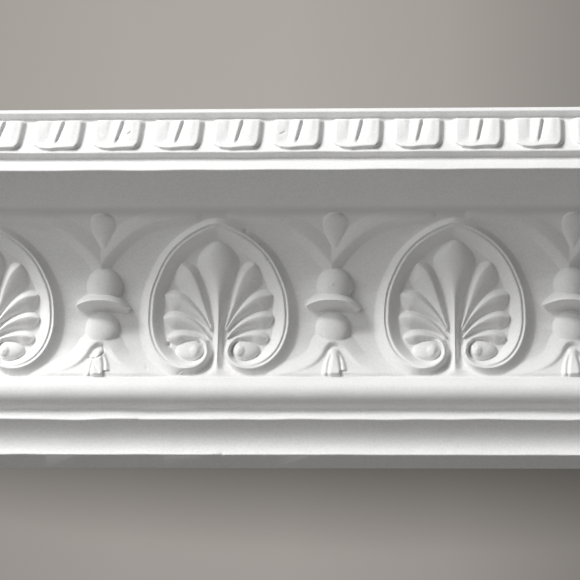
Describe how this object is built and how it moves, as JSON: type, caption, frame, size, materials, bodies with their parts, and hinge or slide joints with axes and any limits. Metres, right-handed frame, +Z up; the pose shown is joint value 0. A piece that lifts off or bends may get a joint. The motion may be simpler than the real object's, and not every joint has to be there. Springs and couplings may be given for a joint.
{
  "type": "plaster cornice moulding section",
  "caption": "Cast plaster cornice section with a leaf band, a coved frieze of hooped palmettes and stem ornaments, and lower mouldings, cut square at both ends.",
  "frame": {"origin": "centre of the strip that bears on the wall, half way along the length", "axes": "+X along the moulding, +Y into the wall, +Z up to the ceiling; the ornament faces -Y and down"},
  "size_m": [0.36, 0.1289, 0.1269],
  "materials": {
    "plaster": "white painted cast plaster, matt"
  },
  "bodies": {
    "root": {"cornice": "plaster"}
  },
  "joints": []
}
